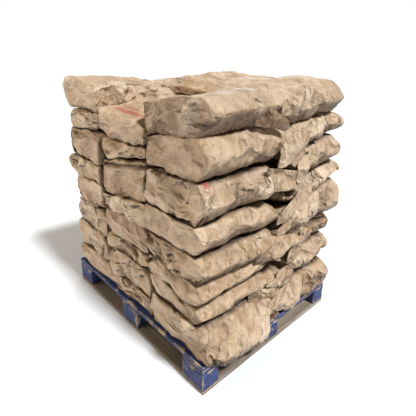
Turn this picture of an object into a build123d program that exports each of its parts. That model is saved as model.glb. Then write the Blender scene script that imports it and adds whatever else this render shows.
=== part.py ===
from build123d import *
import math
import os

# A pallet load of filled paper sacks: a four-way wooden block pallet with a perimeter base,
# and eight layers of six sacks stacked on it. X runs along the pallet's long side, Y along
# its short side, Z is up. The origin is on the floor under the middle of the pallet.

# Pallet: outline, board thicknesses and board widths.
PALLET_LENGTH = 1200.0
PALLET_WIDTH = 1000.0
BASE_THICKNESS = 18.0
BLOCK_HEIGHT = 90.0
STRINGER_THICKNESS = 22.0
DECK_THICKNESS = 20.0
BLOCK_LENGTH = 145.0
BLOCK_WIDTH = 100.0
LEAD_BOARD_WIDTH = 145.0
INNER_BOARD_WIDTH = 100.0
INNER_BOARDS = 5
BASE_BOARD_WIDTH = 100.0
BOARD_CHAMFER = 1.5

# Nails: a flat head on a plain shank, sunk just under the wood's face.
NAIL_SHANK_R = 1.7
NAIL_HEAD_R = 3.8
NAIL_HEAD_THICKNESS = 1.4
NAIL_SINK = 0.6
LONG_NAIL = 80.0
SHORT_NAIL = 40.0
BASE_NAIL = 45.0
NAIL_SPACING = 56.0
NAIL_STAGGER = 26.0
END_NAIL_SHIFT = 26.0

# Levels of the pallet, from the floor up.
BLOCK_BOTTOM = BASE_THICKNESS
STRINGER_BOTTOM = BLOCK_BOTTOM + BLOCK_HEIGHT
DECK_BOTTOM = STRINGER_BOTTOM + STRINGER_THICKNESS
DECK_TOP = DECK_BOTTOM + DECK_THICKNESS

# Rows of blocks, by their middles.
BLOCK_XS = [side * (PALLET_LENGTH - BLOCK_LENGTH) / 2 for side in (-1, 0, 1)]
BLOCK_YS = [side * (PALLET_WIDTH - BLOCK_WIDTH) / 2 for side in (-1, 0, 1)]

# Sacks: each stands in one cell of a three by two grid.
PITCH_X = 404.0
PITCH_Y = 508.0
SACK_LENGTH_X = 391.0
SACK_LENGTH_Y = 494.0
SACK_GAP = 3.0
SACK_EDGE_R = 34.0
EDGE_SHARE = 0.42
SIZE_SPREAD = 5.0
SHIFT_SPREAD = 3.0
TURN_SPREAD = 0.7
COLUMNS = {"left": -1, "middle": 0, "right": 1}
ROWS = {"front": -0.5, "back": 0.5}

# Thickness of each sack from the bottom layer up. Sacks lower down are squashed by the load.
THICKNESSES = {
    ("front", "right"): [172, 102, 112, 130, 142, 168, 172, 152],
    ("front", "middle"): [120, 152, 84, 150, 104, 196, 98, 158],
    ("front", "left"): [140, 160, 162, 154, 118, 168, 110, 156],
    ("back", "right"): [140, 150, 130, 190, 108, 160, 122, 168],
    ("back", "middle"): [142, 146, 148, 146, 150, 142, 150, 152],
    ("back", "left"): [150, 142, 150, 144, 136, 146, 136, 140],
}

# Slopes (rise along X, rise along Y) of the face on which a sack lies, where it isn't level.
# Level 9 is the top of the load.
SLOPES = {
    ("front", "right", 8): (0.15, 0.02),
    ("front", "right", 9): (0.16, 0.03),
    ("front", "right", 7): (0.03, 0.0),
    ("front", "middle", 6): (0.10, 0.0),
    ("front", "middle", 7): (0.17, 0.0),
    ("front", "middle", 8): (0.04, 0.03),
    ("front", "middle", 9): (-0.05, 0.10),
    ("front", "left", 9): (-0.05, -0.02),
    ("back", "right", 5): (0.0, 0.08),
    ("back", "right", 6): (0.0, 0.14),
    ("back", "right", 7): (0.0, 0.10),
    ("back", "right", 8): (0.03, 0.07),
    ("back", "right", 9): (0.02, 0.06),
    ("back", "middle", 9): (-0.06, 0.04),
}

# How far the outer sacks stand out from the grid, from the bottom layer up.
LEFT_OVERHANG = [4, 30, 0, -42, 2, 0, -40, 6]
BACK_OVERHANG = [12, 44, 34, 66, 26, -10, 2, 0]
RIGHT_OVERHANG = [10, -14, -12, 8, 2, 12, 4, 8]
FRONT_OVERHANG = [8, -10, -6, 4, 8, 6, 0, 4]


def wobble(layer, row, column, salt):
    """A fixed, uneven number from -1 to 1 for each sack."""
    return math.sin(12.9 * layer + 7.3 * ROWS[row] + 4.1 * COLUMNS[column] + salt)


def nail(x, y, top, length, up=1):
    """A nail driven down from top, or up from it where up is -1."""
    head = Cylinder(NAIL_HEAD_R, NAIL_HEAD_THICKNESS)
    shank = Cylinder(NAIL_SHANK_R, length - NAIL_HEAD_THICKNESS)
    head_z = top - up * (NAIL_SINK + NAIL_HEAD_THICKNESS / 2)
    shank_z = top - up * (NAIL_SINK + (length + NAIL_HEAD_THICKNESS) / 2)
    return (Pos(x, y, head_z) * head + Pos(x, y, shank_z) * shank).solid()


def deck_nails():
    """Nails down through each deck board and stringer, and on into a block where there is one."""
    nails = []
    for x in BLOCK_XS:
        for y in lead_board_ys() + deck_board_ys():
            on_block = any(abs(y - block_y) < BLOCK_WIDTH / 2 for block_y in BLOCK_YS)
            length = LONG_NAIL if on_block else SHORT_NAIL
            for side in (-1, 1):
                nail_x, nail_y = x + side * NAIL_SPACING / 2, y + side * NAIL_STAGGER
                nails.append(nail(nail_x, nail_y, DECK_TOP, length))
    return nails


def base_nails():
    """Nails up through the base boards into every block."""
    nails = []
    for x in BLOCK_XS:
        for y in BLOCK_YS:
            for side in (-1, 1):
                nail_x = x + math.copysign(END_NAIL_SHIFT, x) if x else side * NAIL_SPACING / 2
                nails.append(nail(nail_x, y + side * NAIL_STAGGER, 0, BASE_NAIL, up=-1))
    return nails


def board(length, width, thickness, x, y, bottom, nails):
    """A board with its lowest face at bottom, its edges broken, and a hole for each nail in it."""
    solid = chamfer(Box(length, width, thickness).edges(), BOARD_CHAMFER)
    solid = Pos(x, y, bottom + thickness / 2) * solid
    low, high = solid.bounding_box().min, solid.bounding_box().max
    inside = [
        each
        for each in nails
        if low.X < each.center().X < high.X and low.Y < each.center().Y < high.Y
    ]
    return (solid - inside).solid() if inside else solid.solid()


def write(name, solids):
    """One STEP for one node."""
    shape = solids[0] if len(solids) == 1 else Compound(children=solids)
    export_step(shape, os.path.join("parts", name + ".step"))


def deck_board_ys():
    """The middles of the inner deck boards, evenly spaced between the two lead boards."""
    clear = PALLET_WIDTH - 2 * LEAD_BOARD_WIDTH - INNER_BOARDS * INNER_BOARD_WIDTH
    pitch = INNER_BOARD_WIDTH + clear / (INNER_BOARDS + 1)
    return [pitch * (n - (INNER_BOARDS - 1) / 2) for n in range(INNER_BOARDS)]


def lead_board_ys():
    return [side * (PALLET_WIDTH - LEAD_BOARD_WIDTH) / 2 for side in (-1, 1)]


def pallet_top(nails):
    """Deck boards along X, and the stringer boards across them that sit on the blocks."""
    size = (PALLET_LENGTH, LEAD_BOARD_WIDTH, DECK_THICKNESS)
    write("deck_lead_boards", [board(*size, 0, y, DECK_BOTTOM, nails) for y in lead_board_ys()])
    size = (PALLET_LENGTH, INNER_BOARD_WIDTH, DECK_THICKNESS)
    write("deck_inner_boards", [board(*size, 0, y, DECK_BOTTOM, nails) for y in deck_board_ys()])
    size = (BLOCK_LENGTH, PALLET_WIDTH, STRINGER_THICKNESS)
    write("stringer_boards", [board(*size, x, 0, STRINGER_BOTTOM, nails) for x in BLOCK_XS])


def pallet_blocks(nails):
    """Nine blocks in three rows."""
    names = {
        (True, True): "corner_blocks",
        (False, True): "side_blocks",
        (True, False): "end_blocks",
        (False, False): "centre_block",
    }
    groups = {name: [] for name in names.values()}
    for x in BLOCK_XS:
        for y in BLOCK_YS:
            block = board(BLOCK_LENGTH, BLOCK_WIDTH, BLOCK_HEIGHT, x, y, BLOCK_BOTTOM, nails)
            groups[names[x != 0, y != 0]].append(block)
    for name, solids in groups.items():
        write(name, solids)


def pallet_base(nails):
    """A perimeter base: full-width end boards, with two side boards and a centre board between."""
    end_x = (PALLET_LENGTH - BASE_BOARD_WIDTH) / 2
    size = (BASE_BOARD_WIDTH, PALLET_WIDTH, BASE_THICKNESS)
    write("base_end_boards", [board(*size, x, 0, 0, nails) for x in (-end_x, end_x)])
    size = (PALLET_LENGTH - 2 * BASE_BOARD_WIDTH, BASE_BOARD_WIDTH, BASE_THICKNESS)
    write("base_side_boards", [board(*size, 0, y, 0, nails) for y in BLOCK_YS if y])
    write("base_centre_board", [board(*size, 0, 0, 0, nails)])


def pallet():
    """The wooden pallet, with its nails in the holes that they make."""
    down, up = deck_nails(), base_nails()
    pallet_top(down)
    pallet_blocks(down + up)
    pallet_base(up)
    write("deck_nails", down)
    write("base_nails", up)


def sack_outline(layer, row, column):
    """The sack's four corners in plan, counted round from its left front one."""
    half_x = (SACK_LENGTH_X + SIZE_SPREAD * wobble(layer, row, column, 0.3)) / 2
    half_y = (SACK_LENGTH_Y + SIZE_SPREAD * wobble(layer, row, column, 1.1)) / 2
    left = -half_x - (LEFT_OVERHANG[layer - 1] if column == "left" else 0)
    right = half_x + (RIGHT_OVERHANG[layer - 1] if column == "right" else 0)
    front = -half_y - (FRONT_OVERHANG[layer - 1] if row == "front" else 0)
    back = half_y + (BACK_OVERHANG[layer - 1] if row == "back" else 0)
    middle = Vector(
        PITCH_X * COLUMNS[column] + SHIFT_SPREAD * wobble(layer, row, column, 2.0),
        PITCH_Y * ROWS[row] + SHIFT_SPREAD * wobble(layer, row, column, 2.9),
    )
    turn = TURN_SPREAD * wobble(layer, row, column, 4.2)
    corners = [(left, front), (right, front), (right, back), (left, back)]
    return [Vector(x, y).rotate(Axis.Z, turn) + middle for x, y in corners]


def face_heights(corners, row, column, level):
    """Heights of the corners on the face between layer level - 1 and layer level."""
    middle = DECK_TOP + sum(THICKNESSES[row, column][: level - 1])
    rise_x, rise_y = SLOPES.get((row, column, level), (0, 0))
    centre_x, centre_y = PITCH_X * COLUMNS[column], PITCH_Y * ROWS[row]
    return [middle + rise_x * (c.X - centre_x) + rise_y * (c.Y - centre_y) for c in corners]


def sack(layer, row, column):
    """One filled sack: a plain block with rounded edges that fills its place in the stack."""
    corners = sack_outline(layer, row, column)
    lower = face_heights(corners, row, column, layer)
    upper = face_heights(corners, row, column, layer + 1)
    bottom = Wire.make_polygon([(c.X, c.Y, z + SACK_GAP) for c, z in zip(corners, lower)])
    top = Wire.make_polygon([(c.X, c.Y, z) for c, z in zip(corners, upper)])
    block = Solid.make_loft([bottom, top], ruled=True)
    thinnest = min(high - low for low, high in zip(lower, upper)) - SACK_GAP
    return block.fillet(min(SACK_EDGE_R, EDGE_SHARE * thinnest), block.edges())


def load():
    """Every sack of the eight layers in a node of its own."""
    for (row, column), thicknesses in THICKNESSES.items():
        for layer in range(1, len(thicknesses) + 1):
            write(f"sack_{layer}_{row}_{column}", [sack(layer, row, column)])


os.makedirs("parts", exist_ok=True)
pallet()
load()
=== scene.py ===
"""Looks for a pallet load of filled paper sacks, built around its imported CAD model."""
import itertools
import math
import zlib

import bpy
import numpy as np
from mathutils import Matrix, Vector


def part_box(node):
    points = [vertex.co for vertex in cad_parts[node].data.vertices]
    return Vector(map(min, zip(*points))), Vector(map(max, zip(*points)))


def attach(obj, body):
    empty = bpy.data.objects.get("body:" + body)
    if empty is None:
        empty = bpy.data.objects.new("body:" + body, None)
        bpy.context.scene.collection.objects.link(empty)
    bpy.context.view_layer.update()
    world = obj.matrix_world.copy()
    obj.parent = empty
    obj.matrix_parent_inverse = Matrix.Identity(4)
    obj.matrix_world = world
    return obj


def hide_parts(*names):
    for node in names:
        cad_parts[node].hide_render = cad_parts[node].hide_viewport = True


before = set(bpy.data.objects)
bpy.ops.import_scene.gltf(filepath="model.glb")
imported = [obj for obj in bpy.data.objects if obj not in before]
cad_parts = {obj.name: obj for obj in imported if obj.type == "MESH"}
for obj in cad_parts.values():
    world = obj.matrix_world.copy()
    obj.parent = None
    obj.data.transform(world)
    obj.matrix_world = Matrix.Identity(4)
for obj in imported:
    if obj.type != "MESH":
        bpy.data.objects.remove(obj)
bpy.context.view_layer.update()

CAD_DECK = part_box("stringer_boards")
CAD_DECK_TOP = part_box("deck_lead_boards")[1][2]

LAYERS = range(1, 9)
ROWS = ("front", "back")
COLUMNS = ("left", "middle", "right")

# Squares of a sack's mesh along X, along Y and up its side.
GRID = (34, 44, 18)

# Roundings of a sack, in metres: its upright corners, how far neighbours reach into each other, and
# how much is closed between the rows. Then the edges of a side: how far in, over what share of half
# the height, and what curve, as edge_inset takes it.
CORNER_R = 0.016
INNER_CORNER_R = 0.009
TOUCH = 0.005
ROW_GAP = 0.016
FLAT_EDGE = (0.011, 0.24)
TUBE_TOP = (0.062, 1.00, 1.6)
TUBE_BOTTOM = (0.068, 1.05, 1.7)
FOLDED_TOP = (0.075, 1.00, 1.0)
FOLDED_BOTTOM = (0.056, 0.95, 1.0)
HANGING_EDGE = (0.014, 0.40)
SLUMPED_EDGE = (0.036, 0.75)
TIGHT_EDGE = (0.014, 0.30)

# Sacks whose printed stripes face up: (layer, row, column).
STRIPED = [(8, "front", "middle"), (8, "back", "middle"), (6, "front", "right")]

# Sacks whose corners are full of powder.
FULL = [(layer, "front", "right") for layer in (3, 5, 7, 8)]

# Half the thickness of a folded tongue of paper, and the squares of its mesh.
HALF_THICKNESS = 0.0012
FLAP_GRID = (34, 24, 1)

# How far the right side of each layer stands past the deck, and how far bottom sacks hang over it.
RIGHT_OVERHANG_SEEN = (0.012, -0.010, -0.008, 0.010, 0.004, 0.012, 0.004, 0.006)
SAGS = {"front": 0.052, "back": 0.014}

# Gaps where sack corners meet, dented in and darkened with painted shade, on the front face and on the right
# face, each a
# straight slot: both ends as (how far along from the front right corner, how high), then half its width and
# its depth.
FRONT_GAPS = (
    ((0.780, 0.900), (0.420, 0.960), 0.009, 0.025),
    ((0.320, 0.980), (0.250, 0.990), 0.014, 0.030),
    ((0.385, 0.935), (0.385, 0.870), 0.010, 0.030),
    ((0.805, 0.720), (0.790, 0.690), 0.014, 0.030),
    ((0.805, 0.660), (0.765, 0.660), 0.014, 0.030),
    ((0.875, 0.615), (0.800, 0.580), 0.013, 0.030),
    ((0.415, 0.655), (0.370, 0.620), 0.014, 0.034),
    ((0.660, 0.495), (0.520, 0.465), 0.014, 0.034),
    ((0.845, 0.430), (0.810, 0.420), 0.018, 0.030),
    ((0.850, 0.385), (0.895, 0.275), 0.009, 0.028),
    ((0.425, 0.480), (0.335, 0.540), 0.009, 0.024),
    ((0.460, 0.415), (0.400, 0.385), 0.014, 0.034),
    ((0.645, 0.275), (0.605, 0.255), 0.015, 0.030),
    ((0.715, 0.180), (0.585, 0.200), 0.010, 0.030),
    ((0.550, 0.205), (0.490, 0.220), 0.012, 0.028),
    ((1.175, 0.600), (1.115, 0.620), 0.010, 0.030),
)
RIGHT_GAPS = (
    ((0.505, 0.975), (0.575, 0.910), 0.016, 0.060),
    ((0.575, 0.810), (0.640, 0.875), 0.016, 0.050),
    ((0.430, 0.800), (0.480, 0.820), 0.014, 0.050),
    ((0.455, 0.680), (0.555, 0.685), 0.016, 0.060),
    ((0.510, 0.660), (0.540, 0.600), 0.013, 0.050),
    ((0.460, 0.425), (0.590, 0.395), 0.018, 0.070),
    ((0.640, 0.320), (0.670, 0.285), 0.014, 0.050),
    ((0.780, 0.550), (1.000, 0.545), 0.010, 0.030),
    ((0.665, 0.455), (0.735, 0.480), 0.014, 0.050),
    ((0.650, 0.885), (0.750, 0.900), 0.012, 0.040),
    ((0.445, 0.190), (0.445, 0.150), 0.030, 0.100),
)

# Loose folded ends where two rows meet on the right side of the load. For each: layer, row, then at
# its root and at its tip how far along the side it is, its lowest and its highest point, in metres
# from the front right corner and the floor; last, how far its tip and its middle stand out.
RIGHT_FLAPS = (
    (8, "front", (0.28, 1.18, 1.29), (0.46, 1.14, 1.20), 0.026, 0.022),
    (8, "back", (0.64, 1.20, 1.30), (0.44, 1.19, 1.27), 0.014, 0.018),
    (7, "back", (0.72, 1.06, 1.15), (0.42, 0.95, 1.10), 0.020, 0.040),
    (6, "front", (0.38, 0.86, 0.98), (0.63, 0.84, 0.93), 0.026, 0.012),
    (6, "back", (0.70, 0.90, 1.01), (0.56, 0.86, 1.00), 0.010, 0.026),
    (5, "back", (0.84, 0.78, 0.86), (0.45, 0.67, 0.77), 0.012, 0.012),
    (4, "front", (0.34, 0.52, 0.66), (0.68, 0.53, 0.58), 0.022, 0.030),
    (4, "front", (0.44, 0.58, 0.65), (0.56, 0.63, 0.70), 0.020, 0.006),
    (3, "back", (0.74, 0.44, 0.56), (0.58, 0.41, 0.49), 0.018, 0.008),
    (2, "back", (0.70, 0.29, 0.41), (0.42, 0.32, 0.39), 0.012, 0.016),
    (2, "front", (0.32, 0.31, 0.38), (0.52, 0.27, 0.33), 0.022, 0.010),
    (1, "back", (0.62, 0.16, 0.30), (0.41, 0.21, 0.29), 0.018, 0.016),
)

# How far those tongues start inside the face of the load, so that they come out of the sack.
FLAP_ROOT_DEPTH = 0.022
FLAP_TIP_DEPTH = 0.006

# The faces between layers wave this far up and down, over this length.
WAVE_HEIGHT = 0.009
WAVE_LENGTH = 0.16

# The paper is this share longer than the plain shape, and may move this far in metres.
PAPER_SLACK = 0.045
FREE_MOVE = 0.011
CLOTH_STEPS = 14

# Facets pressed into the paper before it is let go: size, stretch and depth in metres.
DENTS = (0.10, 1.5, 0.009)

# The paper's folds, from the largest facets to the smallest: size, stretch and height in metres.
FOLDS = (
    (0.150, 2.5, 0.0250),
    (0.075, 2.5, 0.0200),
    (0.034, 2.5, 0.0050),
)

# Sacks darker than the rest: painted shade below the fold along their middle, darker on their front end, and
# a painted highlight on their upper fold.
FOLD_HIGHLIGHT_AND_SHADE = [(8, "front", "right")]

# How crumpled a sack is, where it isn't left to chance: (layer, row, column).
CRUMPLED = {
    (8, "front", "right"): 0.7,
    (7, "front", "right"): 0.45,
    (6, "front", "right"): 1.15,
    (5, "front", "right"): 0.55,
    (4, "front", "right"): 1.2,
    (3, "front", "right"): 0.6,
    (2, "front", "right"): 0.8,
    (1, "front", "right"): 1.1,
    (7, "front", "middle"): 1.15,
    (6, "front", "middle"): 0.4,
    (4, "front", "middle"): 0.45,
    (8, "front", "middle"): 0.8,
    (8, "front", "left"): 0.8,
}

# Colours as they look on a screen, from 0 to 255.
PAPER = {
    "brown": (156, 123, 90),
    "tan": (174, 141, 105),
    "blotch": (142, 114, 85),
    "fibre": (206, 182, 154),
    "fleck": (124, 96, 72),
    "pale": (190, 168, 144),
    # Painted shade below a sack's middle fold.
    "painted_shade_brown": (116, 86, 59),
    # A painted highlight on raised folds, and painted shade in their valleys.
    "ridge": (226, 205, 178),
    "painted_valley_shade": (112, 80, 52),
    "mottle": (120, 92, 63),
    # Painted shade under overhangs, along the layers and between columns.
    "dirt": (56, 34, 19),
    # Near-black painted shade where the painted shade is deepest, in the seams between sacks.
    "painted_gap_shade": (28, 15, 8),
    "ink": (158, 60, 52),
    "crease": (222, 202, 176),
    "streak": (122, 96, 72),
    "pale_facet_edge": (224, 199, 168),
}
BLUE_PAINT = ((30, 41, 86), (66, 78, 120))
PAINT_GRAIN = (30, 40, 66)
RAW_WOOD = ((150, 128, 100), (196, 176, 146))
GREY_WOOD = ((112, 98, 84), (156, 140, 124))
WOOD_GRAIN = (96, 84, 72)
WOOD_DIRT = (70, 60, 52)
STEEL = (112, 104, 98)
RUST = (104, 62, 38)

# Printed stripes, in metres: how far along the sack from its middle, and half the width; then half
# their length, and how far off the middle of the sack they are.
STRIPES = ((0.205, 0.013), (0.170, 0.005))
STRIPE_REACH = 0.13
STRIPE_SHIFT = 0.04

# Long straight creases: how many to a metre, turn of the pattern, and width against their spacing.
CREASE_LINES = ((8.0, 0.5, 0.040), (13.0, 1.9, 0.036))

# Crumpled facets of the paper, from large to small: how many to a metre, turn, stretch and depth.
CRUMPLES = ((7.0, 0.7, 0.6, 0.092), (14.0, 2.1, 0.5, 0.042), (40.0, 1.2, 0.6, 0.006))


# ---------------------------------------------------------------- noise and creases

def seed_of(*words):
    """The same whole number each run for the same words."""
    return zlib.crc32(" ".join(str(word) for word in words).encode())


def lattice_values(cells, seed):
    """An even spread of values from -1 to 1, one for each whole-number cell."""
    h = cells[:, 0] * 73856093 ^ cells[:, 1] * 19349663 ^ cells[:, 2] * 83492791 ^ (seed & 0xFFFFFF) * 40503
    h = (h ^ (h >> 13)) * 1274126177 & 0x7FFFFFFF
    h = (h ^ (h >> 15)) * 668265263 & 0x7FFFFFFF
    return (h >> 7 & 0xFFFF) / 32767.5 - 1


def noise(points, size, seed):
    """Smooth noise from -1 to 1 with lumps about size metres across."""
    scaled = points / size + 1000
    cell = np.floor(scaled).astype(np.int64)
    part = scaled - cell
    part = part * part * (3 - 2 * part)
    total = np.zeros(len(points))
    for corner in itertools.product((0, 1), repeat=3):
        weight = np.prod(np.where(corner, part, 1 - part), axis=1)
        total += weight * lattice_values(cell + np.array(corner), seed)
    return total


def facets(points, size, stretch, seed):
    """Crumpled paper from -1 to 1: flat facets about size metres across that meet in straight creases.
    Each cell of a warped lattice is cut into six tetrahedra, and the height is linear in each."""
    rng = np.random.default_rng(seed)
    turn, _ = np.linalg.qr(rng.normal(size=(3, 3)))
    warp = np.stack([noise(points, 2.2 * size, seed + k) for k in range(3)], 1)
    q = ((points + 0.45 * size * warp) @ turn) * np.array([1 / stretch, 1, 1]) / size + 1000
    cell = np.floor(q).astype(np.int64)
    part = q - cell
    order = np.argsort(-part, axis=1)
    sorted_part = np.take_along_axis(part, order, axis=1)
    corner = cell.copy()
    height = lattice_values(corner, seed) * (1 - sorted_part[:, 0])
    for k in range(3):
        corner[np.arange(len(corner)), order[:, k]] += 1
        nearer = sorted_part[:, k + 1] if k < 2 else 0
        height += lattice_values(corner, seed) * (sorted_part[:, k] - nearer)
    return height


def distance_to_line(flat, start, end):
    """How far flat points are from a straight line between two points."""
    start, along = np.array(start), np.array(end) - np.array(start)
    share = np.clip((flat - start) @ along / (along @ along), 0, 1)
    return np.linalg.norm(flat - start - share[:, None] * along, axis=1)


def smooth_step(t):
    t = np.clip(t, 0, 1)
    return t * t * (3 - 2 * t)


# ---------------------------------------------------------------- meshes

def box_grid(counts):
    """The surface of a cube from -1 to 1 as evenly spaced squares: points and quads."""
    index, points, quads = {}, [], []

    def point(cell):
        if cell not in index:
            index[cell] = len(points)
            points.append([2 * c / n - 1 for c, n in zip(cell, counts)])
        return index[cell]

    for axis, end in itertools.product(range(3), (0, 1)):
        a, b = (axis + 1) % 3, (axis + 2) % 3
        for i, j in itertools.product(range(counts[a]), range(counts[b])):
            quad = []
            for di, dj in ((0, 0), (1, 0), (1, 1), (0, 1)):
                cell = [0, 0, 0]
                cell[axis], cell[a], cell[b] = end * counts[axis], i + di, j + dj
                quad.append(point(tuple(cell)))
            quads.append(quad if end else quad[::-1])
    return np.array(points), np.array(quads)


def point_normals(points, quads):
    across = points[quads[:, 2]] - points[quads[:, 0]]
    along = points[quads[:, 3]] - points[quads[:, 1]]
    face = np.cross(across, along)
    total = np.zeros_like(points)
    for k in range(4):
        np.add.at(total, quads[:, k], face)
    return total / np.maximum(np.linalg.norm(total, axis=1), 1e-12)[:, None]


def mesh_object(name, points, quads, material, attributes=None):
    mesh = bpy.data.meshes.new(name)
    mesh.from_pydata(points.tolist(), [], quads.tolist())
    for key, values in (attributes or {}).items():
        kind = "FLOAT" if values.ndim == 1 else "FLOAT_VECTOR"
        field = "value" if values.ndim == 1 else "vector"
        layer = mesh.attributes.new(key, kind, "POINT")
        layer.data.foreach_set(field, values.astype(np.float32).ravel())
    mesh.materials.append(material)
    mesh.shade_smooth()
    piece = bpy.data.objects.new(name, mesh)
    bpy.context.scene.collection.objects.link(piece)
    return piece


def doubled(points, quads, carried):
    """The mesh with every square split in four on a smooth surface, and the carried vectors with it."""
    mesh = bpy.data.meshes.new("doubled")
    mesh.from_pydata(points.tolist(), [], quads.tolist())
    layer = mesh.attributes.new("carried", "FLOAT_VECTOR", "POINT")
    layer.data.foreach_set("vector", carried.astype(np.float32).ravel())
    piece = bpy.data.objects.new("doubled", mesh)
    bpy.context.scene.collection.objects.link(piece)
    piece.modifiers.new("split", "SUBSURF").levels = 1
    graph = bpy.context.evaluated_depsgraph_get()
    fine = bpy.data.meshes.new_from_object(piece.evaluated_get(graph))
    found = []
    for data, count, kind in (
        (fine.vertices, 3, "co"),
        (fine.attributes["carried"].data, 3, "vector"),
        (fine.loops, 1, "vertex_index"),
    ):
        values = np.zeros(len(data) * count, np.int32 if count == 1 else np.float32)
        data.foreach_get(kind, values)
        found.append(values)
    bpy.data.objects.remove(piece)
    bpy.data.meshes.remove(mesh)
    bpy.data.meshes.remove(fine)
    places, carried, corners = found
    return places.reshape(-1, 3).astype(float), corners.reshape(-1, 4), carried.reshape(-1, 3).astype(float)


def flat_planes(node):
    """The six large flat faces of a blocky CAD node, as (outward normal, distance) for each axis end."""
    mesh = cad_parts[node].data
    best = {}
    for polygon in mesh.polygons:
        n = np.array(polygon.normal)
        axis = int(np.argmax(np.abs(n)))
        key = (axis, int(n[axis] > 0))
        if polygon.area < 1e-6 or (axis < 2 and abs(n[2]) > 0.01):
            continue  # part of a rounded edge: the sides themselves are upright
        group = best.setdefault(key, {})
        rounded = tuple(np.round(n, 2))
        area, normal, centre = group.get(rounded, (0, n, np.array(polygon.center)))
        group[rounded] = (area + polygon.area, normal, centre)
    planes = {}
    for key, group in best.items():
        _, normal, centre = max(group.values(), key=lambda item: item[0])
        planes[key] = (normal, normal @ centre)
    return planes


def sack_corners(node):
    """The eight corners of the block that a CAD sack was rounded from, indexed [x end][y end][z end]."""
    planes = flat_planes(node)
    corners = np.zeros((2, 2, 2, 3))
    for ends in itertools.product((0, 1), repeat=3):
        chosen = [planes[axis, end] for axis, end in enumerate(ends)]
        corners[ends] = np.linalg.solve([n for n, _ in chosen], [d for _, d in chosen])
    return corners


def into_block(unit, corners):
    """Points of the cube from -1 to 1, carried into the block with those corners."""
    t = (unit + 1) / 2
    result = np.zeros_like(unit)
    for ends in itertools.product((0, 1), repeat=3):
        weight = np.prod([t[:, k] if end else 1 - t[:, k] for k, end in enumerate(ends)], axis=0)
        result += weight[:, None] * corners[ends]
    return result


# ---------------------------------------------------------------- materials

def srgb(red, green, blue):
    """A colour given as 0 to 255 on a screen, as the linear values that Blender takes."""
    def linear(value):
        value /= 255
        return value / 12.92 if value <= 0.04045 else ((value + 0.055) / 1.055) ** 2.4
    return (linear(red), linear(green), linear(blue), 1)


class Nodes:
    """A short way to write a material's node tree."""

    def __init__(self, name):
        self.material = bpy.data.materials.new(name)
        self.material.use_nodes = True
        self.tree = self.material.node_tree
        self.shader = self.tree.nodes["Principled BSDF"]

    def new(self, kind, inputs=None, **settings):
        node = self.tree.nodes.new(kind)
        for key, value in settings.items():
            setattr(node, key, value)
        for key, value in (inputs or {}).items():
            self.put(node.inputs[key], value)
        return node

    def put(self, socket, value):
        if isinstance(value, bpy.types.NodeSocket):
            self.tree.links.new(value, socket)
        else:
            socket.default_value = value

    def attribute(self, name, vector=False):
        node = self.new("ShaderNodeAttribute", attribute_name=name)
        return node.outputs["Vector" if vector else "Fac"]

    def noise(self, vector, scale, detail=4, roughness=0.55, distortion=0.0):
        inputs = {"Vector": vector, "Scale": scale, "Detail": detail}
        inputs |= {"Roughness": roughness, "Distortion": distortion}
        return self.new("ShaderNodeTexNoise", inputs).outputs["Fac"]

    def stretch(self, vector, scale):
        return self.new("ShaderNodeMapping", {"Vector": vector, "Scale": scale}).outputs["Vector"]

    def steps(self, value, low, high, to_low=0.0, to_high=1.0):
        inputs = {"Value": value, "From Min": low, "From Max": high, "To Min": to_low, "To Max": to_high}
        return self.new("ShaderNodeMapRange", inputs, interpolation_type="SMOOTHSTEP").outputs["Result"]

    def math(self, operation, a, b=0.0):
        node = self.new("ShaderNodeMath", operation=operation, use_clamp=False)
        self.put(node.inputs[0], a)
        self.put(node.inputs[1], b)
        return node.outputs[0]

    def mix(self, factor, a, b, blend="MIX"):
        node = self.new("ShaderNodeMix", data_type="RGBA", blend_type=blend)
        self.put(node.inputs["Factor"], factor)
        self.put(node.inputs[6], a)
        self.put(node.inputs[7], b)
        return node.outputs[2]

    def bump(self, height, distance, strength=1.0, below=None):
        inputs = {"Height": height, "Distance": distance, "Strength": strength}
        if below is not None:
            inputs["Normal"] = below
        return self.new("ShaderNodeBump", inputs).outputs["Normal"]


def paper_colour(n, place, blotch, fibre, shade):
    """The paper's colour: its own tones, painted highlight and painted shade on its folds, painted shade
    under overhangs and in gaps, and the stripes printed on it.
    """
    c = {name: srgb(*value) for name, value in PAPER.items()}
    tint = n.attribute("tint")
    ridge = n.attribute("ridge")
    cloud = n.noise(place, 2.6, detail=3)
    fleck = n.noise(place, 420.0, detail=2)
    mottle = n.noise(place, 95.0, detail=4, roughness=0.7)
    colour = n.mix(n.steps(cloud, 0.35, 0.65), c["brown"], c["tan"])
    colour = n.mix(n.steps(blotch, 0.42, 0.72, 0.0, 0.5), colour, c["blotch"])
    colour = n.mix(n.steps(fibre, 0.35, 0.75, 0.0, 0.28), colour, c["fibre"])
    colour = n.mix(n.steps(fleck, 0.60, 0.75, 0.0, 0.35), colour, c["fleck"])
    # tint from -1 to 1 is each sack's own paler or darker tone; on the sacks with a painted fold it is -2 for
    # painted shade below the fold and 1 for a painted highlight above it.
    colour = n.mix(n.steps(tint, -1.0, 1.0, 0.0, 0.30), colour, c["pale"])
    colour = n.mix(n.steps(tint, -1.0, -2.0, 0.0, 0.85), colour, c["painted_shade_brown"])
    # Painted highlight on raised folds and painted shade in their valleys.
    colour = n.mix(n.steps(ridge, 0.10, 0.9, 0.0, 0.60), colour, c["ridge"])
    colour = n.mix(n.steps(ridge, -0.05, -0.9, 0.0, 0.45), colour, c["painted_valley_shade"])
    colour = n.mix(n.steps(mottle, 0.46, 0.70, 0.0, 0.38), colour, c["mottle"])
    # Painted shade under overhangs, along the layers, between columns and in gaps, broken up a little by the
    # mottle.
    dirt = n.math("MULTIPLY", shade, n.steps(mottle, 0.2, 0.6, 1.0, 0.85))
    colour = n.mix(dirt, colour, c["dirt"])
    # Towards near-black painted shade where the painted shade is deepest, in the seams between sacks.
    colour = n.mix(n.steps(shade, 0.82, 0.95), colour, c["painted_gap_shade"])
    return n.mix(printed_ink(n, mottle), colour, c["ink"])


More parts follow.
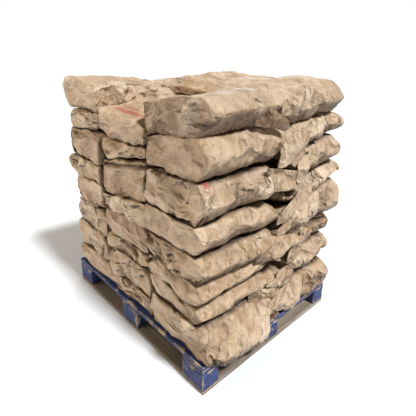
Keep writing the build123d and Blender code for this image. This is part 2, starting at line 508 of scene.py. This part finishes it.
def printed_ink(n, mottle):
    """How much ink there is: stripes across a face that looks up, a little worn."""
    printed = n.new("ShaderNodeSeparateXYZ", {0: n.attribute("print", vector=True)})
    along, across, upward = printed.outputs
    ink = 0.0
    for middle, width in STRIPES:
        away = n.math("ABSOLUTE", n.math("SUBTRACT", along, middle))
        ink = n.math("MAXIMUM", ink, n.steps(away, width, width + 0.002, 1.0, 0.0))
    across = n.math("ABSOLUTE", across)
    ink = n.math("MULTIPLY", ink, n.steps(across, STRIPE_REACH - 0.005, STRIPE_REACH, 1.0, 0.0))
    worn = n.math("MULTIPLY", n.steps(upward, 0.1, 0.3), n.steps(mottle, 0.2, 0.6, 0.8, 0.6))
    return n.math("MULTIPLY", ink, worn)


def crease_lines(n, place, crease, colour):
    """Long, broken, straight creases and streaks along the paper: the colour and the normal."""
    below = None
    for scale, turn, width in CREASE_LINES:
        turned = {"Vector": place, "Rotation": (turn, 1.7 * turn, 0.8 * turn), "Scale": (0.16, 1, 1)}
        turned = {"Vector": n.new("ShaderNodeMapping", turned).outputs["Vector"], "Scale": scale}
        edge = n.new("ShaderNodeTexVoronoi", turned, feature="DISTANCE_TO_EDGE")
        broken = n.steps(n.noise(place, 7.0 + turn, detail=2), 0.50, 0.57)
        line = n.math("MULTIPLY", n.steps(edge.outputs["Distance"], 0.0, width, 1.0, 0.0), broken)
        below = n.bump(line, 0.0014, n.math("ADD", crease, 0.2), below)
        colour = n.mix(n.math("MULTIPLY", line, 0.24), colour, srgb(*PAPER["crease"]))
    streak = n.noise(n.stretch(place, (50, 50, 7)), 1.0, detail=3)
    below = n.bump(streak, 0.0035, 0.6, below)
    return n.mix(n.steps(streak, 0.45, 0.65, 0.0, 0.16), colour, srgb(*PAPER["streak"])), below


def crumpled(n, place, crease, shade, colour, below):
    """Facets of crumpled paper, pale where the large ones meet, away from the painted shade: the colour and
    the normal.
    """
    bare = n.math("MULTIPLY", crease, n.math("SUBTRACT", 1.0, shade))
    shift = n.new("ShaderNodeTexNoise", {"Vector": place, "Scale": 12.0, "Detail": 2}).outputs["Color"]
    bent = n.new("ShaderNodeVectorMath", {0: shift, 1: (0.035, 0.035, 0.035)}, operation="MULTIPLY")
    bent = n.new("ShaderNodeVectorMath", {0: place, 1: bent.outputs[0]}, operation="ADD")
    for scale, turn, stretch, depth in CRUMPLES:
        turned = {"Rotation": (turn, 1.4 * turn, 0.6 * turn), "Scale": (stretch, 1, 1)}
        turned = n.new("ShaderNodeMapping", {"Vector": bent.outputs[0], **turned}).outputs["Vector"]
        cells = n.new("ShaderNodeTexVoronoi", {"Vector": turned, "Scale": scale}, distance="MANHATTAN")
        below = n.bump(cells.outputs["Distance"], depth, crease, below)
        if scale < CRUMPLES[-1][0]:
            pale_facet_edge = n.steps(cells.outputs["Distance"], 0.74, 1.0, 0.0, 0.38)
            colour = n.mix(n.math("MULTIPLY", pale_facet_edge, bare), colour, srgb(*PAPER["pale_facet_edge"]))
    return colour, below


def kraft_paper():
    """Matt brown sack paper: fibres, soft blotches, pale creases, painted highlights on raised folds and
    painted shade in hollows.
    """
    n = Nodes("kraft_paper")
    place = n.attribute("place", vector=True)
    shade = n.attribute("shade")
    crease = n.attribute("crease")
    blotch = n.noise(place, 9.0, detail=5)
    fibre = n.noise(n.stretch(place, (60, 60, 600)), 1.0, detail=4, roughness=0.7)
    colour = paper_colour(n, place, blotch, fibre, shade)
    colour, below = crease_lines(n, place, crease, colour)
    colour, below = crumpled(n, place, crease, shade, colour, below)
    n.put(n.shader.inputs["Base Color"], colour)
    n.put(n.shader.inputs["Roughness"], n.steps(blotch, 0.3, 0.7, 0.48, 0.66))
    n.shader.inputs["Specular IOR Level"].default_value = 0.5
    n.put(n.shader.inputs["Normal"], n.bump(fibre, 0.0005, 0.5, below))
    return n.material


def painted_wood(name, wood, paint, cover):
    """Rough sawn softwood with thin paint that has worn off its edges and raised grain."""
    n = Nodes(name)
    grain_place = n.attribute("grain_place", vector=True)
    wear = n.attribute("wear")
    grain = n.noise(n.stretch(grain_place, (3, 55, 55)), 1.0, detail=6, roughness=0.65, distortion=0.6)
    fine = n.noise(n.stretch(grain_place, (14, 420, 420)), 1.0, detail=3, roughness=0.6)
    patch = n.noise(grain_place, 11.0, detail=6, roughness=0.6)
    dirt = n.noise(grain_place, 4.0, detail=4)
    dark, pale = (srgb(*value) for value in wood)
    colour = n.mix(n.steps(grain, 0.3, 0.7), dark, pale)
    colour = n.mix(n.steps(fine, 0.4, 0.7, 0.0, 0.45), colour, srgb(*WOOD_GRAIN))
    speckle = n.noise(grain_place, 42.0, detail=5, roughness=0.7)
    dark, pale = (srgb(*value) for value in paint)
    coat = n.mix(n.steps(speckle, 0.35, 0.65), dark, pale)
    coat = n.mix(n.steps(fine, 0.45, 0.75, 0.0, 0.4), coat, srgb(*PAINT_GRAIN))
    hold = n.math("ADD", n.math("MULTIPLY", patch, 0.9), n.math("MULTIPLY", grain, 0.5))
    hold = n.math("SUBTRACT", hold, n.math("MULTIPLY", wear, 0.50))
    hold = n.steps(hold, 0.62 - cover, 0.70 - cover)
    colour = n.mix(hold, colour, coat)
    colour = n.mix(n.steps(dirt, 0.45, 0.75, 0.0, 0.35), colour, srgb(*WOOD_DIRT))
    n.put(n.shader.inputs["Base Color"], colour)
    n.put(n.shader.inputs["Roughness"], n.steps(hold, 0.0, 1.0, 0.88, 0.62))
    n.shader.inputs["Specular IOR Level"].default_value = 0.3
    below = n.bump(grain, 0.002, 0.5)
    below = n.bump(hold, 0.0006, 0.6, below)
    n.put(n.shader.inputs["Normal"], n.bump(fine, 0.0008, 0.6, below))
    return n.material


def nail_steel():
    n = Nodes("nail_steel")
    place = n.new("ShaderNodeTexCoord").outputs["Object"]
    rust = n.noise(place, 300.0, detail=4)
    n.put(n.shader.inputs["Base Color"], n.mix(n.steps(rust, 0.4, 0.6), srgb(*STEEL), srgb(*RUST)))
    n.put(n.shader.inputs["Roughness"], n.steps(rust, 0.4, 0.6, 0.42, 0.85))
    n.shader.inputs["Metallic"].default_value = 0.7
    n.put(n.shader.inputs["Normal"], n.bump(rust, 0.0004, 0.5))
    return n.material


# ---------------------------------------------------------------- sacks

CUBE_POINTS, CUBE_QUADS = box_grid(GRID)


def edge_inset(height, inward, share, bulge=2.0):
    """How far a side stands in at a height from -1 to 1, towards its top edge. The curve is a quarter
    ellipse where bulge is 2, and a straight slope where it is 1."""
    s = np.clip((height - 1 + share) / share, 0, 1)
    return inward * (1 - np.maximum(1 - s**bulge, 0) ** (1 / bulge))


def rounded_outline(square, low, high, radius):
    """Points of a square's outline moved onto a rounded rectangle with those low and high corners."""
    half = (high - low) / 2
    radius = radius[:, None]
    flat = square * half
    inner = np.clip(flat, -(half - radius), half - radius)
    out = flat - inner
    return (low + high) / 2 + inner + radius * out / np.maximum(np.linalg.norm(out, axis=1), 1e-9)[:, None]


def side_edges(layer, row, column):
    """Top and bottom roundings of a sack's four sides: its long sides are tubes, its ends are folded flat."""
    edges = {"-x": (TIGHT_EDGE, TIGHT_EDGE), "+x": (TIGHT_EDGE, TIGHT_EDGE)}
    edges["-y"] = edges["+y"] = (TIGHT_EDGE, TIGHT_EDGE)
    if column == "right":
        edges["+x"] = (TUBE_TOP, HANGING_EDGE if layer == LAYERS[0] else TUBE_BOTTOM)
        if layer == LAYERS[-1]:
            edges["+x"] = (FOLDED_TOP, FOLDED_BOTTOM)
    if column == "left":
        edges["-x"] = (TUBE_TOP, TUBE_BOTTOM)
    if row == "front":
        edges["-y"] = (FLAT_EDGE, FLAT_EDGE)
    else:
        edges["+y"] = (SLUMPED_EDGE, FLAT_EDGE)
    return edges


def sack_body(half, layer, row, column, rng):
    """A rounded, unwrinkled sack about the origin, as local points in metres."""
    cube = CUBE_POINTS
    reach = np.maximum(np.abs(cube[:, 0]), np.abs(cube[:, 1]))
    square = cube[:, :2] / np.maximum(reach, 1e-9)[:, None]
    height = np.sin(math.pi / 2 * cube[:, 2])
    inset = {}
    for side, (top, bottom) in side_edges(layer, row, column).items():
        inset[side] = edge_inset(height, *top) + edge_inset(-height, *bottom)
    low = -half[:2] + np.column_stack([inset["-x"] - TOUCH * (column != "left"), inset["-y"]])
    high = half[:2] - np.column_stack([inset["+x"] - TOUCH * (column != "right"), inset["+y"]])
    closed = column == "middle" and layer < LAYERS[-1]  # no daylight shows through the load
    if closed:
        low[:, 1] -= ROW_GAP / 2 * (row == "back")
        high[:, 1] += ROW_GAP / 2 * (row == "front")
    outward = {"left": -1, "middle": 0, "right": 1}[column]
    rim = rounded_outline(square, low, high, np.where(outward * square[:, 0] > 0, CORNER_R, INNER_CORNER_R))
    on_side = np.abs(cube[:, 2]) < 1 - 1e-9
    flat = cube[:, :2] * half[:2] + (rim - square * half[:2]) * (reach**2.5)[:, None]
    xy = np.where(on_side[:, None], rim, flat)
    local = np.column_stack([xy, height * half[2]])
    if not closed:
        local = pinch_inner_end(local, half, row, rng)
    slackness = 0.15 if (layer, row, column) in FULL else 1
    return knock_corners(local, half, slackness, rng)


def knock_corners(local, half, slackness, rng):
    """Corners of the sack that hold no powder are pushed in, each by its own amount."""
    result = local.copy()
    for ends in itertools.product((-1, 1), repeat=3):
        depth = max(0.0, rng.uniform(-0.020, 0.028)) * slackness
        near = np.ones(len(local))
        for k, end in enumerate(ends):
            reach = 0.08 if k < 2 else 0.06
            near *= smooth_step(1 - (half[k] - end * local[:, k]) / reach)
        toward = np.array([0.75 * ends[0], 0.45 * ends[1], 0.55 * ends[2]])
        result -= depth * near[:, None] * toward
    return result


def pinch_inner_end(local, half, row, rng):
    """The end that meets the other row is folded thinner, into a lip that sits high or low."""
    toward = 1 if row == "front" else -1
    start = rng.uniform(0.60, 0.76)
    thin = rng.uniform(0.35, 0.75)
    level = rng.uniform(-0.7, 0.7)
    t = smooth_step((toward * local[:, 1] / half[1] - start) / (1 - start))
    lip = level * (1 - thin) * half[2] + thin * local[:, 2]
    result = local.copy()
    result[:, 2] = local[:, 2] * (1 - t) + lip * t
    return result


def flap(root, tip, arch, seed):
    """A folded tongue of paper between two edges, each a pair of points: points, quads, and how near
    each point is to the root."""
    unit, quads = box_grid(FLAP_GRID)
    u = (unit[:, :1] + 1) / 2
    v = 0.5 + unit[:, 1:2] / 2 * np.sqrt(1 - 0.7 * u**5)
    low = root[0] * (1 - u) + tip[0] * u
    high = root[1] * (1 - u) + tip[1] * u
    along = (tip[0] + tip[1] - root[0] - root[1]) / 2
    across = (root[1] - root[0] + tip[1] - tip[0]) / 2
    normal = np.cross(along, across)
    normal /= np.linalg.norm(normal)
    outward = np.sign(normal @ arch) or 1
    points = low * (1 - v) + high * v + arch * np.sin(math.pi * u) * (0.4 + 0.6 * np.sin(math.pi * v))
    fold = 0.018 * facets(points, 0.10, 2.0, seed) + 0.006 * facets(points, 0.045, 2.0, seed + 7)
    spread = smooth_step(u[:, 0] / 0.25)
    ragged = 0.008 * facets(points, 0.08, 1.0, seed + 3) * (u[:, 0] ** 3 + (2 * v[:, 0] - 1) ** 4)
    points = points + normal * outward * (spread * fold)[:, None]
    points = points + across / np.linalg.norm(across) * ragged[:, None]
    return points + normal * HALF_THICKNESS * unit[:, 2:], quads, smooth_step(1 - u[:, 0] / 0.3)


class Sack:
    """One filled sack, from its plain shape to its creased paper."""

    def __init__(self, layer, row, column):
        self.layer, self.row, self.column = layer, row, column
        self.node = f"sack_{layer}_{row}_{column}"
        self.rng = np.random.default_rng(seed_of(self.node))
        corners = sack_corners(self.node)
        edges = (corners[1] - corners[0], corners[:, 1] - corners[:, 0], corners[:, :, 1] - corners[:, :, 0])
        self.half = np.array([np.linalg.norm(edge, axis=-1).mean() for edge in edges]) / 2
        self.local = sack_body(self.half, layer, row, column, self.rng)
        self.points = into_block(self.local / self.half, corners)
        self.wave()
        if layer == LAYERS[0]:
            self.sag()
        pressed = -CUBE_POINTS[:, 2] if layer == LAYERS[-1] else np.abs(CUBE_POINTS[:, 2])
        self.held = smooth_step((pressed - 0.9) / 0.1)
        reach = np.maximum(np.abs(CUBE_POINTS[:, 0]), np.abs(CUBE_POINTS[:, 1]))
        self.held *= 1 - smooth_step((reach - 0.6) / 0.3)

    def wave(self):
        """The faces between layers wave, and both sacks at a face follow the same wave."""
        plan = np.column_stack([self.points[:, :2], np.zeros(len(self.points))])
        up = (self.local[:, 2] / self.half[2] + 1) / 2
        for level, weight in ((self.layer, 1 - up), (self.layer + 1, up)):
            if level > 1:
                seed = seed_of("level", level, self.row, self.column)
                self.points[:, 2] += WAVE_HEIGHT * weight * noise(plan, WAVE_LENGTH, seed)

    def sag(self):
        """A bottom sack stands in from the front edge of the deck, and hangs over its right edge."""
        low = 1 - (self.local[:, 2] / self.half[2] + 1) / 2
        near = smooth_step((CAD_DECK[0][1] + 0.10 - self.points[:, 1]) / 0.10)
        self.points[:, 1] += near * (0.012 + 0.014 * low)
        over = smooth_step((self.points[:, 0] - CAD_DECK[1][0] + 0.012) / 0.016)
        over *= 0.3 + 0.7 * smooth_step((self.points[:, 1] - CAD_DECK[0][1]) / 0.14)
        depth = SAGS[self.row] if self.column == "right" else 0
        self.points[:, 0] += 0.45 * depth * over * low
        self.points[:, 2] -= depth * over * low**1.3

    def rest(self, points):
        """A bottom sack's underside stays on the deck, apart from what hangs over its right edge."""
        beyond = smooth_step((points[:, 0] - CAD_DECK[1][0] - 0.002) / 0.008)
        floor = CAD_DECK_TOP - (SAGS[self.row] + 0.01) * beyond
        points[:, 2] = np.maximum(points[:, 2], floor)

    def toward_neighbour(self, local):
        """How near each point is to a side that faces another column, from 0 to 1."""
        across = local[:, 0] / self.half[0]
        return {"left": across, "middle": np.abs(across), "right": -across}[self.column]

    def gaps(self, points):
        """Points in a gap between corners move inwards. Returns how dark the painted shade in the gap is at
        each.
        """
        deepest = np.zeros(len(points))
        front = np.column_stack([CAD_DECK[1][0] - points[:, 0], points[:, 2]])
        right = np.column_stack([points[:, 1] - CAD_DECK[0][1], points[:, 2]])
        for axis, flat, inward, gaps in ((1, front, 1, FRONT_GAPS), (0, right, -1, RIGHT_GAPS)):
            from_face = right[:, 0] if axis == 1 else front[:, 0]
            outer = smooth_step(1.25 - from_face / 0.15)
            for start, end, width, depth in gaps:
                away = distance_to_line(flat, start, end) / width
                points[:, axis] += inward * depth * smooth_step((1.3 - away) / 0.6) * outer
                # Painted shade in the gap, reaching a little past the dent.
                deepest = np.maximum(deepest, 0.82 * smooth_step((1.4 - away) / 0.6) * outer)
        return deepest

    def flaps(self):
        """Points and quads of the loose folded ends that hang from this sack."""
        side_x = CAD_DECK[1][0]
        near_y = CAD_DECK[0][1]
        for number, (layer, row, root, tip, out, arch) in enumerate(RIGHT_FLAPS):
            if (layer, row, "right") != (self.layer, self.row, self.column):
                continue
            base = side_x + RIGHT_OVERHANG_SEEN[layer - 1]
            edges = []
            for (along, low, high), x in ((root, base - FLAP_ROOT_DEPTH), (tip, base + out - FLAP_TIP_DEPTH)):
                edges.append([np.array([x, near_y + along, z]) for z in (low, high)])
            yield flap(*edges, np.array([arch, 0, 0]), seed_of("flap", number))

    def cloth(self):
        """The sack as loose cloth: its paper is a little larger than its shape, so it buckles."""
        start = self.points.copy()
        size, stretch, depth = DENTS
        fold = facets(self.local, size, stretch, seed_of(self.node, "dents"))
        normals = point_normals(start, CUBE_QUADS)
        start += normals * (depth * (fold - 0.3) * (1 - self.held))[:, None]
        mesh = bpy.data.meshes.new("cloth")
        mesh.from_pydata(start.tolist(), [], CUBE_QUADS.tolist())
        self.soft = bpy.data.objects.new("cloth", mesh)
        bpy.context.scene.collection.objects.link(self.soft)
        group = self.soft.vertex_groups.new(name="held")
        for index in np.flatnonzero(self.held > 0.02):
            group.add([int(index)], float(self.held[index]), "REPLACE")
        cloth = self.soft.modifiers.new("cloth", "CLOTH")
        settings = cloth.settings
        settings.quality = 4
        settings.mass = 0.25
        settings.tension_stiffness = settings.compression_stiffness = 30
        settings.shear_stiffness = 12
        settings.bending_stiffness = 0.6
        settings.air_damping = 3
        settings.shrink_min = -PAPER_SLACK
        settings.use_pressure = True
        settings.uniform_pressure_force = 0.4
        settings.vertex_group_mass = "held"
        settings.effector_weights.gravity = 0

    def settle(self):
        """Takes the cloth's shape, capped to a short move from the plain one."""
        graph = bpy.context.evaluated_depsgraph_get()
        solved = self.soft.evaluated_get(graph).to_mesh()
        moved = np.zeros(len(solved.vertices) * 3)
        solved.vertices.foreach_get("co", moved)
        move = moved.reshape(-1, 3) - self.points
        distance = np.linalg.norm(move, axis=1)
        capped = FREE_MOVE * np.tanh(distance / FREE_MOVE)
        self.points = self.points + move * (capped / np.maximum(distance, 1e-9))[:, None]
        mesh = self.soft.data
        bpy.data.objects.remove(self.soft)
        bpy.data.meshes.remove(mesh)

    def paper(self, material):
        """The finished sack: folds and fine creases over the settled shape."""
        rng = self.rng
        points, quads, local = doubled(self.points, CUBE_QUADS, self.local)
        painted_gap_shade = self.gaps(points)
        normals = point_normals(points, quads)
        shade = self.dirt(points, local, normals)
        crumple = CRUMPLED.get((self.layer, self.row, self.column), rng.uniform(0.75, 1.4))
        patchy = 0.65 + 0.5 * noise(points, 0.10, seed_of(self.node, "patch"))
        strength = self.fold_strength(points, normals, patchy * crumple)
        push = np.full(len(points), -0.002)
        ridge = np.zeros(len(points))
        for number, (size, stretch, height) in enumerate(FOLDS):
            fold = facets(local, size, stretch, seed_of(self.node, "fold", number))
            push += height * fold
            # The two largest folds also set how raised each point is, for a painted highlight on ridges and
            # painted shade in valleys.
            if number < 2:
                ridge += fold / 2
        points = points + normals * (strength * push)[:, None]
        if self.layer == LAYERS[0]:
            self.rest(points)
        place = local + rng.uniform(-9, 9, 3)
        tint = np.full(len(points), rng.uniform(-1, 1))
        # A painted highlight on the upper fold, and painted shade below it and on the front end.
        if (self.layer, self.row, self.column) in FOLD_HIGHLIGHT_AND_SHADE:
            upper = self.upper_fold(points, local)
            tint = -2 + 3 * upper
            ridge = np.maximum(ridge, 0.45 * upper)
        crease = np.clip(0.42 + 0.42 * patchy * crumple, 0.35, 0.95)
        values = {
            "place": place,
            "tint": tint,
            "ridge": np.clip(1.6 * ridge, -1, 1) * np.clip(strength, 0, 1),
            "print": self.stripes(local, normals),
            "shade": np.maximum(shade, painted_gap_shade),
            "crease": crease * (1 - 0.35 * np.clip(normals[:, 2], 0, 1)),
        }
        for more, faces, root in self.flaps():
            quads = np.concatenate([quads, faces + len(points)])
            points = np.concatenate([points, more])
            added = {
                "place": more + rng.uniform(-9, 9, 3),
                "tint": np.full(len(more), values["tint"][0]),
                "ridge": np.zeros(len(more)),
                "print": np.zeros((len(more), 3)),
                # Painted shade near the root of the tongue.
                "shade": 0.7 * root,
                "crease": np.full(len(more), 0.6),
            }
            values = {key: np.concatenate([values[key], added[key]]) for key in values}
        piece = mesh_object(f"paper_{self.node}", points, quads, material, values)
        body = f"top_{self.row}_{self.column}" if self.layer == LAYERS[-1] else "root"
        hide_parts(self.node)
        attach(piece, body)

    def dirt(self, points, local, normals):
        """Painted shade: how much each point's colour is darkened below an overhang, along the layers above
        and below, and between columns."""
        rise = local[:, 2] / self.half[2]
        covered = 0 if self.layer == LAYERS[-1] else 1
        shade = 0.85 * smooth_step((-normals[:, 2] - 0.15) / 0.60)
        end_on = smooth_step((CAD_DECK[0][1] + 0.05 - points[:, 1]) / 0.03)
        start = 0.82 + 0.11 * end_on
        shade = np.maximum(shade, smooth_step((rise - start) / (1 - start)) * covered)
        start -= 0.38 * smooth_step((points[:, 0] - CAD_DECK[1][0] + 0.06) / 0.03)
        shade = np.maximum(shade, smooth_step((-rise - start) / (1 - start)))
        side = 0.9 * covered * smooth_step((self.toward_neighbour(local) - 0.955) / 0.03)
        shade = 0.9 * np.maximum(shade, side) * (1 - 0.12 * end_on)
        return shade * (1 - self.bared(local, normals))

    def fold_strength(self, points, normals, crumple):
        """How deep the folds are: full on open faces, and shallow between layers."""
        open_face = 1 - smooth_step((np.abs(normals[:, 2]) - 0.45) / 0.5)
        if self.layer == LAYERS[-1]:
            open_face = np.where(normals[:, 2] > 0, np.maximum(open_face, 0.6), open_face)
        inner = smooth_step((0.24 - np.abs(points[:, 1])) / 0.16)
        return (0.15 + 0.85 * open_face) * np.clip(crumple + 0.20 * inner, 0, 1.15 - 0.35 * inner)

    def upper_fold(self, points, local):
        """1 on the part of such a sack above the fold along its middle, clear of its front end: the painted
        highlight goes there, the painted shade below it.
        """
        rise = local[:, 2] / self.half[2]
        upper = smooth_step((rise + 0.05 * noise(points, 0.05, seed_of("fold")) - 0.06) / 0.08)
        return upper * smooth_step((local[:, 1] + self.half[1] - 0.03) / 0.02)

    def bared(self, local, normals):
        """How much of the painted shade to take away where a lifted top sack uncovers paper, on itself or on
        the sack below.
        """
        if self.layer == LAYERS[-2]:
            return 0.92 * smooth_step((normals[:, 2] - 0.6) / 0.3)
        if self.layer == LAYERS[-1]:
            reach = np.max(np.abs(local[:, :2]) / self.half[:2], axis=1)
            return 0.85 * smooth_step((-normals[:, 2] - 0.6) / 0.3) * smooth_step((0.93 - reach) / 0.1)
        return 0

    def stripes(self, local, normals):
        """Where the printed stripes go: how far along, how far across, and how much a point faces up."""
        if (self.layer, self.row, self.column) not in STRIPED:
            return np.zeros((len(local), 3))
        end = -1 if self.row == "front" else 1
        along = end * local[:, 1]
        if self.layer < LAYERS[-1]:
            along = np.maximum(along, 0.19)  # past the second stripe: a covered sack shows one
        return np.column_stack([along, local[:, 0] - STRIPE_SHIFT, normals[:, 2]])


def load_of_sacks(material):
    sacks = [Sack(*place) for place in itertools.product(LAYERS, ROWS, COLUMNS)]
    for sack in sacks:
        sack.cloth()
    scene = bpy.context.scene
    for step in range(1, CLOTH_STEPS + 1):
        scene.frame_set(step)
    for sack in sacks:
        sack.settle()
    scene.frame_set(1)
    for sack in sacks:
        sack.paper(material)


# ---------------------------------------------------------------- pallet

def islands(node):
    """The boxes of a CAD node's separate solids, as (low corner, high corner)."""
    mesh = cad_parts[node].data
    points = np.array([v.co for v in mesh.vertices])
    _, same = np.unique(np.round(points, 5), axis=0, return_inverse=True)
    same = same.ravel()
    group = np.arange(same.max() + 1)
    edges = same[np.array([e.vertices[:] for e in mesh.edges])]
    while True:
        lowest = np.minimum(group[edges[:, 0]], group[edges[:, 1]])
        before = group.copy()
        np.minimum.at(group, edges[:, 0], lowest)
        np.minimum.at(group, edges[:, 1], lowest)
        group = group[group]
        if (group == before).all():
            break
    labels = group[same]
    return [(points[labels == k].min(0), points[labels == k].max(0)) for k in np.unique(labels)]


def worn_board(low, high, seed):
    """A board in that box with blunted, chipped edges: points, quads, wear and grain places."""
    size = high - low
    long_axis = int(np.argmax(size))
    counts = [max(4, int(round(s / 0.009))) for s in size]
    unit, quads = box_grid(counts)
    half = size / 2
    flat = unit * half
    blunt = 0.004
    inner = np.clip(flat, -(half - blunt), half - blunt)
    out = flat - inner
    local = inner + blunt * out / np.maximum(np.linalg.norm(out, axis=1), 1e-9)[:, None]
    near_edge = np.sort(half - np.abs(local), axis=1)[:, 1]
    edge = np.exp(-near_edge / 0.004)
    placed = local + (low + high) / 2
    chip = noise(placed, 0.035, seed) + 0.6 * noise(placed, 0.014, seed + 1)
    depth = 0.007 * np.clip(chip - 0.25, 0, 1) * edge + 0.0006 * (1 + noise(placed, 0.02, seed + 2))
    toward = local / np.maximum(np.linalg.norm(local / half, axis=1), 1e-9)[:, None]
    toward /= np.maximum(np.linalg.norm(toward, axis=1), 1e-9)[:, None]
    placed -= toward * depth[:, None]
    axes = [long_axis] + [k for k in range(3) if k != long_axis]
    grain = local[:, axes] + np.random.default_rng(seed).uniform(-5, 5, 3)
    return placed, quads, np.clip(edge + 0.8 * np.clip(chip - 0.1, 0, 1), 0, 1.5), grain


def boards(node, material):
    """All of a CAD node's boards or blocks as one worn piece."""
    points, quads, wear, grain = [], [], [], []
    count = 0
    for number, (low, high) in enumerate(islands(node)):
        p, q, w, g = worn_board(low, high, seed_of(node, number) % 9973)
        points.append(p)
        quads.append(q + count)
        wear.append(w)
        grain.append(g)
        count += len(p)
    values = {"wear": np.concatenate(wear), "grain_place": np.concatenate(grain)}
    piece = mesh_object(f"worn_{node}", np.concatenate(points), np.concatenate(quads), material, values)
    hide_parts(node)
    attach(piece, "root")


# ---------------------------------------------------------------- stage

def studio():
    """A pale floor, a key light from high on the right, a warm fill from the left front, a weak light
    from behind, and a white backdrop that only the camera sees."""
    mesh = bpy.data.meshes.new("floor")
    mesh.from_pydata([(-12, -12, 0), (12, -12, 0), (12, 12, 0), (-12, 12, 0)], [], [(0, 1, 2, 3)])
    n = Nodes("floor")
    n.shader.inputs["Base Color"].default_value = (0.74, 0.74, 0.74, 1)
    n.shader.inputs["Roughness"].default_value = 0.9
    mesh.materials.append(n.material)
    floor = bpy.data.objects.new("floor", mesh)
    bpy.context.scene.collection.objects.link(floor)
    world = bpy.data.worlds.new("studio")
    world.use_nodes = True
    nodes, links = world.node_tree.nodes, world.node_tree.links
    soft = nodes["Background"]
    backdrop, pick = nodes.new("ShaderNodeBackground"), nodes.new("ShaderNodeMixShader")
    soft.inputs["Color"].default_value = (1, 0.93, 0.84, 1)
    soft.inputs["Strength"].default_value = 0.20
    backdrop.inputs["Color"].default_value = (1, 1, 1, 1)
    links.new(nodes.new("ShaderNodeLightPath").outputs["Is Camera Ray"], pick.inputs[0])
    links.new(soft.outputs[0], pick.inputs[1])
    links.new(backdrop.outputs[0], pick.inputs[2])
    links.new(pick.outputs[0], nodes["World Output"].inputs["Surface"])
    bpy.context.scene.world = world
    add_light("key", "SUN", 5.0, (3.0, 0.2, 5.0), (0.90, 0.95, 1)).angle = math.radians(9)
    add_light("fill", "AREA", 98, (-2.2, -3.6, 2.4), (1, 0.90, 0.77)).size = 3.0
    add_light("back", "AREA", 70, (-2.6, 3.6, 3.2), (0.94, 0.97, 1)).size = 3.0


def add_light(name, kind, power, place, colour):
    """A light at that place, aimed at the middle of the load."""
    data = bpy.data.lights.new(name, kind)
    data.energy, data.color = power, colour
    lamp = bpy.data.objects.new(name, data)
    lamp.location = place
    lamp.rotation_euler = (Vector((0, 0, 0.7)) - lamp.location).to_track_quat("-Z", "Y").to_euler()
    bpy.context.scene.collection.objects.link(lamp)
    return data


def camera():
    """The view of the front right corner, from eye height."""
    data = bpy.data.cameras.new("camera")
    data.sensor_width, data.lens = 36, 31.8
    data.shift_x, data.shift_y = 0.020, -0.112
    cam = bpy.data.objects.new("camera", data)
    cam.location = (1.524, -1.372, 1.46)
    turn, dip, roll = math.radians(47.7), math.radians(16.4), math.radians(0.54)
    forward = Vector((-math.sin(turn) * math.cos(dip), math.cos(turn) * math.cos(dip), -math.sin(dip)))
    cam.rotation_mode = "QUATERNION"
    cam.rotation_quaternion = forward.to_track_quat("-Z", "Y")
    cam.rotation_mode = "XYZ"
    cam.rotation_euler.rotate_axis("Z", roll)
    bpy.context.scene.collection.objects.link(cam)
    bpy.context.scene.camera = cam


# ---------------------------------------------------------------- the whole object

camera()
studio()
bpy.context.scene.view_settings.view_transform = "Standard"

blue_wood = painted_wood("blue_wood", RAW_WOOD, BLUE_PAINT, cover=0.30)
grey_wood = painted_wood("grey_wood", GREY_WOOD, BLUE_PAINT, cover=-0.28)
for name in ("deck_lead_boards", "deck_inner_boards", "stringer_boards"):
    boards(name, blue_wood)
for name in ("corner_blocks", "side_blocks", "end_blocks", "centre_block"):
    boards(name, blue_wood)
for name in ("base_end_boards", "base_side_boards", "base_centre_board"):
    boards(name, grey_wood)
steel = nail_steel()
for name in ("deck_nails", "base_nails"):
    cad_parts[name].data.materials.clear()
    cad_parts[name].data.materials.append(steel)

load_of_sacks(kraft_paper())
